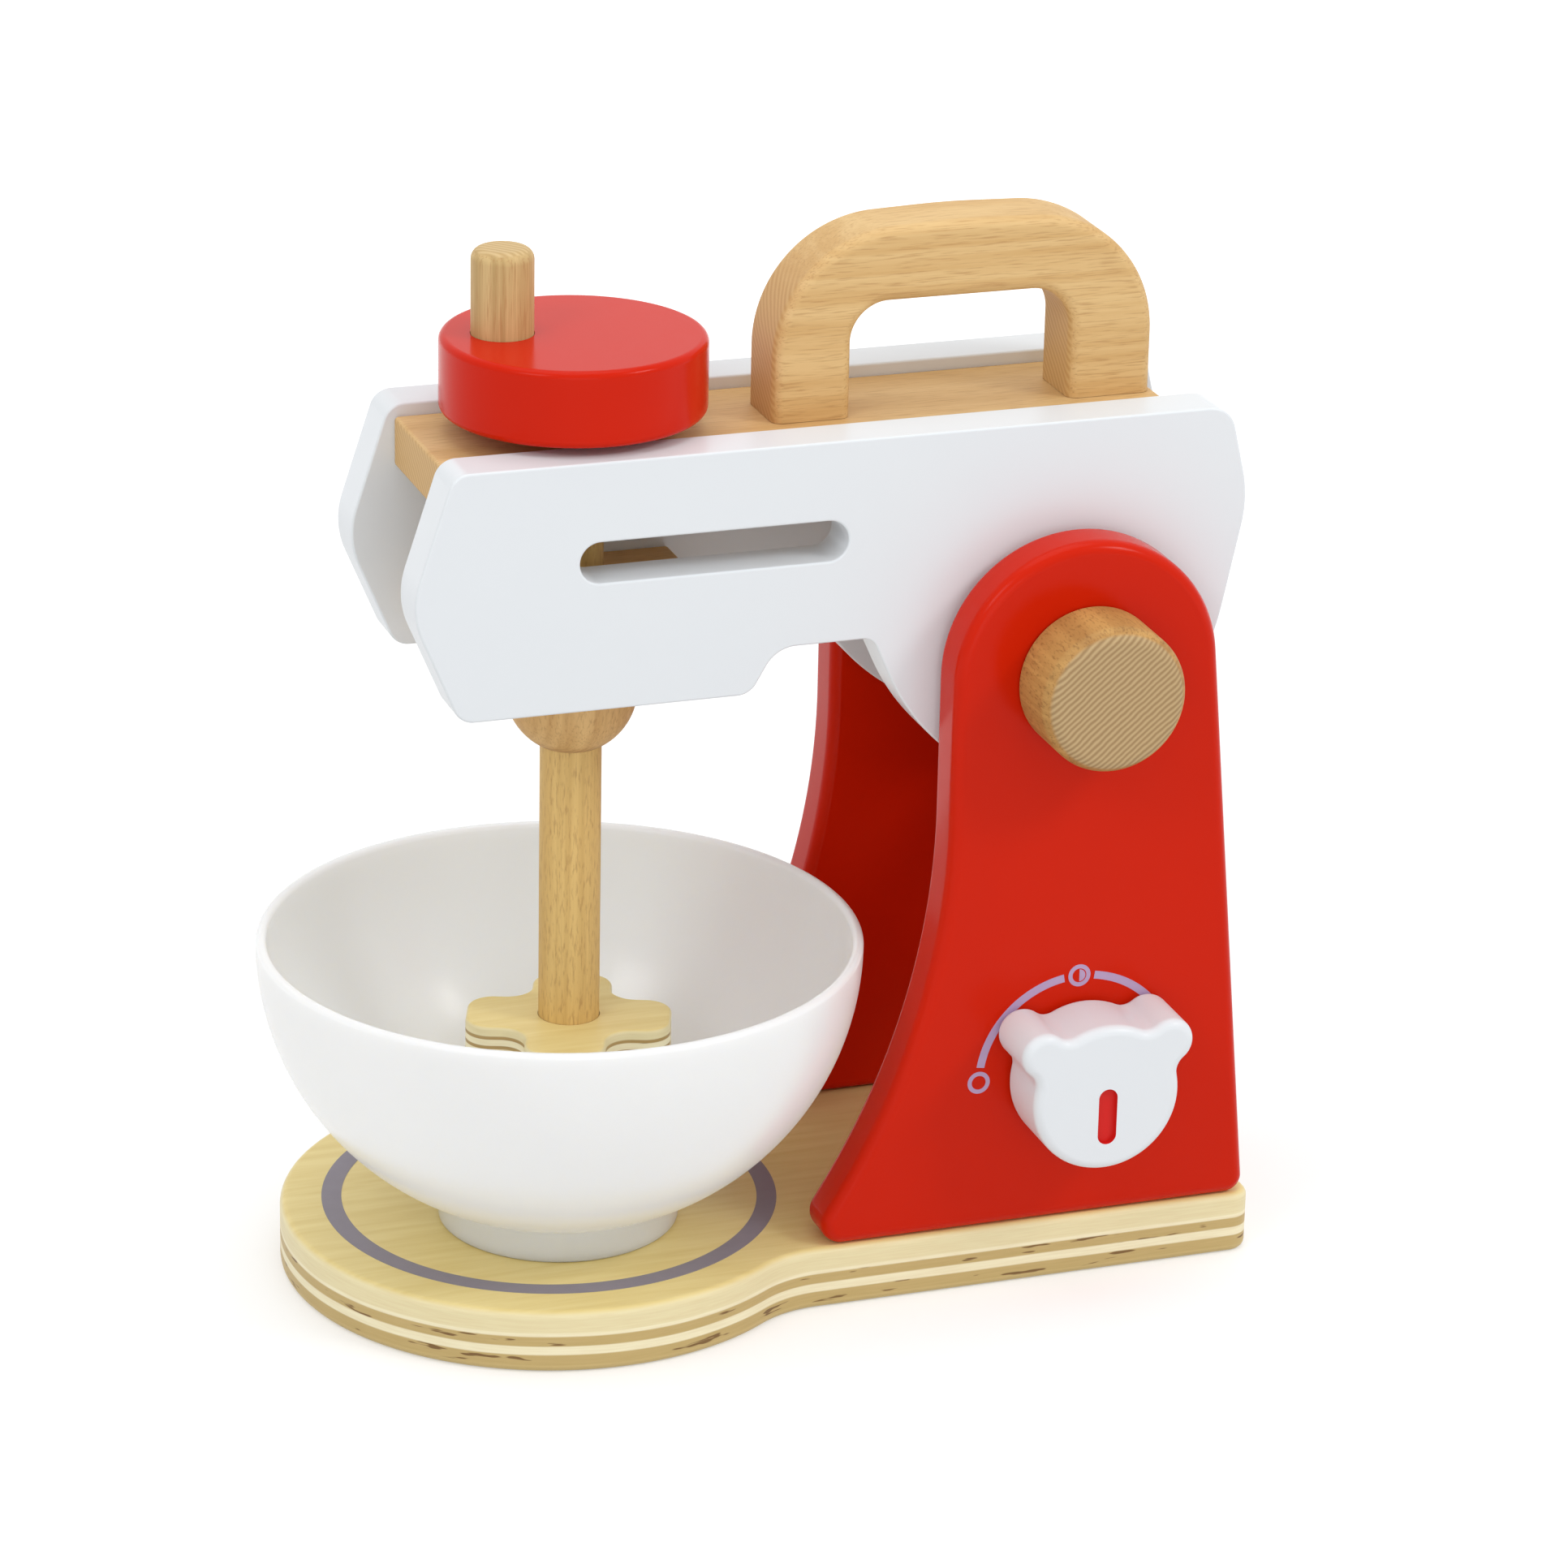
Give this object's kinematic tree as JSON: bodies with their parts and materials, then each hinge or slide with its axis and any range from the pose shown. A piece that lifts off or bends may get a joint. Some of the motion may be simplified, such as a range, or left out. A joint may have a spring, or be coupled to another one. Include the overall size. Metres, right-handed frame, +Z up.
{
  "type": "toy stand mixer",
  "caption": "Wooden toy stand mixer with a tilting head, a hand crank that turns its beater, a turning dial knob, a carry handle and a loose bowl.",
  "frame": {"origin": "on the floor, straight below the beater shaft, on the flat underside of the base board", "axes": "+Z up; +X from the bowl back to the stand; -Y the near side, with the dial"},
  "size_m": [0.2271, 0.1424, 0.2442],
  "materials": {
    "red_enamel": "satin red lacquer over wood",
    "white_enamel": "satin white lacquer over wood",
    "beech": "oiled beech, fine flecks",
    "dowel": "oiled beech dowel, grain along its length",
    "birch_ply": "clear-coated birch plywood, plies showing at its edges",
    "bowl_white": "smooth warm white",
    "screw_steel": "zinc-plated steel"
  },
  "bodies": {
    "stand": {"base_board": "birch_ply", "stand_panel_near": "red_enamel", "stand_panel_far": "red_enamel", "stand_back_block": "red_enamel", "base_screw_front_near": "screw_steel", "base_screw_rear_near": "screw_steel", "base_screw_front_far": "screw_steel", "base_screw_rear_far": "screw_steel", "brace_dowel_upper_near": "dowel", "brace_dowel_lower_near": "dowel", "brace_dowel_upper_far": "dowel", "brace_dowel_lower_far": "dowel"},
    "head": {"head_panel_near": "white_enamel", "head_panel_far": "white_enamel", "top_plate": "beech", "bearing_block": "beech", "carry_handle": "beech", "handle_screw_front": "screw_steel", "handle_screw_rear": "screw_steel", "plate_dowel_front_near": "dowel", "plate_dowel_rear_near": "dowel", "plate_dowel_front_far": "dowel", "plate_dowel_rear_far": "dowel", "block_dowel_near": "dowel", "block_dowel_far": "dowel", "tilt_axle": "dowel", "axle_knob_near": "beech", "axle_knob_far": "beech", "axle_washer_near": "beech", "axle_washer_far": "beech"},
    "crank": {"crank_disc": "red_enamel", "crank_peg": "dowel", "disc_spacer": "beech", "beater_shaft": "dowel", "shaft_collar": "beech", "beater_cross": "birch_ply"},
    "dial": {"dial_knob": "white_enamel", "dial_screw": "screw_steel", "dial_washer": "screw_steel"},
    "bowl": {"mixing_bowl": "bowl_white"}
  },
  "joints": [
    {"name": "head_tilt", "type": "hinge", "parent": "stand", "child": "head", "pos_m": [0.1063, 0, 0.1478], "axis": [0, 1, 0], "range_deg": [0, 56]},
    {"name": "crank_turn", "type": "hinge", "parent": "head", "child": "crank", "pos_m": [0, 0, 0.2], "axis": [0, 0, 1], "continuous": true},
    {"name": "dial_turn", "type": "hinge", "parent": "stand", "child": "dial", "pos_m": [0.1076, -0.055, 0.0524], "axis": [0, 1, 0], "continuous": true},
    {"name": "bowl_lift", "type": "slide", "parent": "stand", "child": "bowl", "axis": [0, 0, 1], "range_m": [0, 0.018]}
  ]
}
